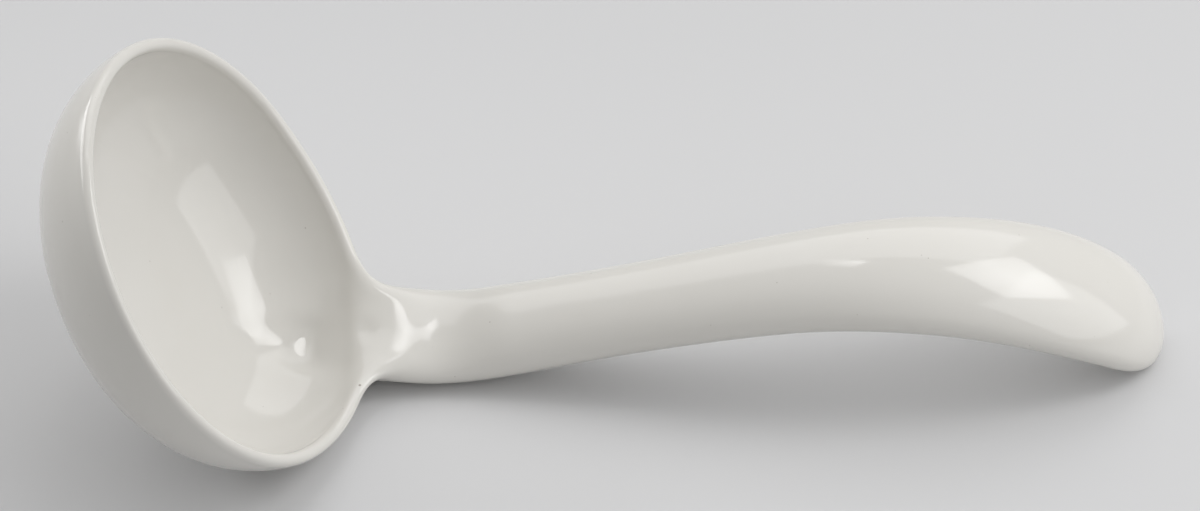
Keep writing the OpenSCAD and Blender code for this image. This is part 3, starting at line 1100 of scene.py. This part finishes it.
@dataclass(frozen=True)
class Glaze:
    """A clear glaze over white porcelain, with faint clouds, specks and pinholes.

    Scales count features per metre.

    Attributes:
        name: Name of the material.
        body: Colour of the porcelain.
        cloud: Colour of its faint clouds.
        cloud_scale: Scale of the clouds.
        cloud_detail: How many finer layers they have.
        speck: Colour of the spots.
        spots: The kinds of spots.
        refraction: Refractive index of the glaze.
        roughness: Least roughness of the glaze.
        roughness_change: How much rougher it is in places.
        roughness_scale: Scale of those places.
        wave_scale: Scale of the waves in the glaze.
        wave_detail: How many finer layers they have.
        wave_height: Height of the waves, in metres.
        wave_strength: How strongly they show.
    """

    name: str = "white_glaze"
    body: tuple[float, float, float, float] = (0.70, 0.685, 0.65, 1.0)
    cloud: tuple[float, float, float, float] = (0.665, 0.648, 0.608, 1.0)
    cloud_scale: float = 45.0
    cloud_detail: float = 3.0
    speck: tuple[float, float, float, float] = (0.22, 0.18, 0.14, 1.0)
    spots: tuple[Spots, ...] = (
        Spots(spacing=0.0098, core=0.00014, edge=0.00026, strength=0.75),
        Spots(spacing=0.0034, core=0.00005, edge=0.00013, strength=0.55),
    )
    refraction: float = 1.52
    roughness: float = 0.07
    roughness_change: float = 0.05
    roughness_scale: float = 120.0
    wave_scale: float = 60.0
    wave_detail: float = 1.0
    wave_height: float = 0.0002
    wave_strength: float = 0.35

    @staticmethod
    def pattern(
        tree: bpy.types.NodeTree, place: bpy.types.NodeSocket, kind: str, **values: float
    ) -> bpy.types.Node:
        """Add a texture that is laid over the ladle.

        Args:
            tree: The material's nodes.
            place: The coordinates that it reads.
            kind: Type of the texture node.
            **values: Values of its sockets, by name.

        Returns:
            The texture node.
        """
        texture = tree.nodes.new(kind)
        for socket, value in values.items():
            texture.inputs[socket].default_value = value
        tree.links.new(place, texture.inputs["Vector"])
        return texture

    @staticmethod
    def remap(
        tree: bpy.types.NodeTree, value: bpy.types.NodeSocket, **ends: float
    ) -> bpy.types.NodeSocket:
        """Stretch a value from one range to another.

        Args:
            tree: The material's nodes.
            value: The value.
            **ends: The ends of the ranges, by socket name with underscores for spaces.

        Returns:
            The new value.
        """
        stretch = tree.nodes.new("ShaderNodeMapRange")
        for socket, end in ends.items():
            stretch.inputs[socket.replace("_", " ")].default_value = end
        tree.links.new(value, stretch.inputs["Value"])
        return stretch.outputs["Result"]

    def colour(
        self, tree: bpy.types.NodeTree, place: bpy.types.NodeSocket
    ) -> bpy.types.NodeSocket:
        """Work out the colour: the porcelain, its clouds and every kind of spot.

        Args:
            tree: The material's nodes.
            place: The coordinates that the patterns read.

        Returns:
            The colour.
        """
        clouds = self.pattern(
            tree,
            place,
            "ShaderNodeTexNoise",
            Scale=self.cloud_scale,
            Detail=self.cloud_detail,
        )
        tint = tree.nodes.new("ShaderNodeMix")
        tint.data_type = "RGBA"
        tint.inputs["A"].default_value = self.body
        tint.inputs["B"].default_value = self.cloud
        tree.links.new(clouds.outputs["Fac"], tint.inputs["Factor"])
        colour = tint.outputs["Result"]
        for kind in self.spots:
            cells = self.pattern(tree, place, "ShaderNodeTexVoronoi", Scale=1.0 / kind.spacing)
            share = self.remap(
                tree,
                cells.outputs["Distance"],
                From_Min=kind.core / kind.spacing,
                From_Max=kind.edge / kind.spacing,
                To_Min=kind.strength,
                To_Max=0.0,
            )
            specked = tree.nodes.new("ShaderNodeMix")
            specked.data_type = "RGBA"
            specked.inputs["B"].default_value = self.speck
            tree.links.new(share, specked.inputs["Factor"])
            tree.links.new(colour, specked.inputs["A"])
            colour = specked.outputs["Result"]
        return colour

    def make(self) -> bpy.types.Material:
        """Build the material.

        Returns:
            The material, in which every pattern reads Object coordinates.
        """
        material = bpy.data.materials.new(self.name)
        material.use_nodes = True
        tree = material.node_tree
        shader = tree.nodes["Principled BSDF"]
        shader.inputs["IOR"].default_value = self.refraction
        place = tree.nodes.new("ShaderNodeTexCoord").outputs["Object"]
        tree.links.new(self.colour(tree, place), shader.inputs["Base Color"])

        sheen = self.pattern(tree, place, "ShaderNodeTexNoise", Scale=self.roughness_scale)
        rough = self.remap(
            tree,
            sheen.outputs["Fac"],
            To_Min=self.roughness,
            To_Max=self.roughness + self.roughness_change,
        )
        tree.links.new(rough, shader.inputs["Roughness"])

        waves = self.pattern(
            tree,
            place,
            "ShaderNodeTexNoise",
            Scale=self.wave_scale,
            Detail=self.wave_detail,
        )
        bump = tree.nodes.new("ShaderNodeBump")
        bump.inputs["Strength"].default_value = self.wave_strength
        bump.inputs["Distance"].default_value = self.wave_height
        tree.links.new(waves.outputs["Fac"], bump.inputs["Height"])
        tree.links.new(bump.outputs["Normal"], shader.inputs["Normal"])
        return material


@dataclass
class Ladle:
    """The ladle as two pieces of glazed porcelain.

    Attributes:
        skin: The shape of the whole ladle.
        lie: How it lies on the table.
        glaze: Its finish.
    """

    skin: LadleSkin = field(default_factory=LadleSkin)
    lie: Lie = field(default_factory=Lie)
    glaze: Glaze = field(default_factory=Glaze)

    def make(self) -> list[bpy.types.Object]:
        """Build and dress the bowl and the handle, and put them on the frame.

        Returns:
            The two objects.
        """
        whole = self.skin.make(self.lie)
        finish = self.glaze.make()
        bowl = part_skin(whole, Piece.BOWL, "glazed_bowl")
        handle = part_skin(whole, Piece.HANDLE, "glazed_handle")
        bpy.data.meshes.remove(whole)
        for obj in (bowl, handle):
            obj.data.materials.clear()
            obj.data.materials.append(finish)
            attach(obj, "root")
        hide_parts("bowl")
        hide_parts("handle", "slip_joint")
        return [bowl, handle]


@dataclass(frozen=True)
class Lamp:
    """A soft rectangular lamp, placed by what it lights.

    Attributes:
        name: What the lamp is.
        aim: The place on the ladle that it faces.
        way: The direction from there to the lamp.
        distance: How far away it hangs.
        size: Its width and height.
        power: Its power in watts.
        roll: How far it is turned about its own middle, in degrees.
        spread: The angle into which it shines, in degrees, which a grid narrows.
    """

    name: str
    aim: tuple[float, float, float]
    way: tuple[float, float, float]
    distance: float
    size: tuple[float, float]
    power: float
    roll: float = 0.0
    spread: float = 180.0


LAMPS = (
    Lamp(
        name="sky",
        aim=(0.0, 0.0, 0.03),
        way=(0.0, 0.6, 0.8),
        distance=1.2,
        size=(1.4, 1.0),
        power=4.8,
    ),
    Lamp(
        name="side",
        aim=(0.0, 0.0, 0.03),
        way=(0.85, -0.2, 0.5),
        distance=1.0,
        size=(1.0, 0.8),
        power=3.3,
    ),
    Lamp(
        name="grip",
        aim=(0.061, 0.003, 0.021),
        way=(0.57, 0.09, 0.815),
        distance=0.47,
        size=(0.26, 0.25),
        power=0.12,
        roll=-51.0,
        spread=70.0,
    ),
    Lamp(
        name="rim",
        aim=(-0.044, -0.032, 0.081),
        way=(-0.79, 0.575, 0.22),
        distance=0.25,
        size=(0.08, 0.2),
        power=0.058,
        roll=115.0,
        spread=100.0,
    ),
    Lamp(
        name="neck",
        aim=(-0.031, 0.004, 0.008),
        way=(-0.06, 0.2, 0.98),
        distance=0.42,
        size=(0.12, 0.05),
        power=0.0018,
        roll=-52.0,
        spread=24.0,
    ),
)


@dataclass
class Studio:
    """A pale table, soft lamps and the camera.

    Attributes:
        floor_size: Length and width of the table top, in metres.
        floor_colour: Its colour.
        floor_roughness: Its roughness.
        sky_colour: Colour of the light from all round.
        sky_strength: Its strength.
        lamps: The lamps.
        target: The place that the camera faces.
        elevation: How far the camera looks down, in degrees.
        distance: How far it is from the target, in metres.
        focal_length: Its focal length, in millimetres.
        sensor_width: Width of its sensor, in millimetres.
        view_depth: How far it sees, in metres.
    """

    floor_size: float = 6.0
    floor_colour: tuple[float, float, float, float] = (0.62, 0.62, 0.625, 1.0)
    floor_roughness: float = 0.9
    sky_colour: tuple[float, float, float, float] = (0.9, 0.9, 0.9, 1.0)
    sky_strength: float = 0.52
    lamps: tuple[Lamp, ...] = LAMPS
    target: tuple[float, float, float] = (-0.00095, -0.00079, 0.03068)
    elevation: float = 42.0
    distance: float = 2.267
    focal_length: float = 452.7
    sensor_width: float = 36.0
    view_depth: float = 50.0

    def make_floor(self) -> bpy.types.Object:
        """Lay the table top.

        Returns:
            The table top, which isn't part of the ladle.
        """
        bm = bmesh.new()
        bmesh.ops.create_grid(bm, x_segments=1, y_segments=1, size=self.floor_size / 2)
        mesh = bpy.data.meshes.new("floor")
        bm.to_mesh(mesh)
        bm.free()
        floor = bpy.data.objects.new("floor", mesh)
        bpy.context.scene.collection.objects.link(floor)
        material = bpy.data.materials.new("pale_floor")
        material.use_nodes = True
        shader = material.node_tree.nodes["Principled BSDF"]
        shader.inputs["Base Color"].default_value = self.floor_colour
        shader.inputs["Roughness"].default_value = self.floor_roughness
        mesh.materials.append(material)
        return floor

    @staticmethod
    def make_lamp(lamp: Lamp) -> bpy.types.Object:
        """Hang a soft rectangular lamp that faces its place on the ladle.

        Args:
            lamp: The lamp's settings.

        Returns:
            The lamp, which the camera doesn't see.
        """
        data = bpy.data.lights.new(lamp.name, "AREA")
        data.shape = "RECTANGLE"
        data.size, data.size_y = lamp.size
        data.energy = lamp.power
        data.spread = math.radians(lamp.spread)
        way = Vector(lamp.way).normalized()
        obj = bpy.data.objects.new(lamp.name, data)
        obj.location = Vector(lamp.aim) + lamp.distance * way
        turn = Quaternion((0.0, 0.0, 1.0), math.radians(lamp.roll))
        obj.rotation_euler = (way.to_track_quat("Z", "Y") @ turn).to_euler()
        obj.visible_camera = False
        bpy.context.scene.collection.objects.link(obj)
        return obj

    def make_world(self) -> None:
        """Light the scene softly from all round."""
        world = bpy.data.worlds.new("studio")
        world.use_nodes = True
        back = world.node_tree.nodes["Background"]
        back.inputs["Color"].default_value = self.sky_colour
        back.inputs["Strength"].default_value = self.sky_strength
        bpy.context.scene.world = world

    def make_camera(self) -> None:
        """Set up the camera at the photograph's viewing angle."""
        data = bpy.data.cameras.new("camera")
        data.sensor_width = self.sensor_width
        data.lens = self.focal_length
        data.clip_end = self.view_depth
        camera = bpy.data.objects.new("camera", data)
        lift = math.radians(self.elevation)
        away = Vector((0.0, -math.cos(lift), math.sin(lift)))
        camera.location = Vector(self.target) + self.distance * away
        camera.rotation_euler = (math.radians(QUARTER_TURN - self.elevation), 0.0, 0.0)
        bpy.context.scene.collection.objects.link(camera)
        bpy.context.scene.camera = camera

    def make(self) -> None:
        """Set up the floor, the light and the camera."""
        self.make_floor()
        self.make_world()
        for lamp in self.lamps:
            self.make_lamp(lamp)
        self.make_camera()
        bpy.context.scene.view_settings.view_transform = "Standard"


def main() -> None:
    """Build the ladle and its studio."""
    logging.basicConfig(level=logging.INFO)
    for obj in Ladle().make():
        LOG.info("%s: %d faces", obj.name, len(obj.data.polygons))
    Studio().make()
    bpy.context.view_layer.update()


if __name__ == "__main__":
    main()
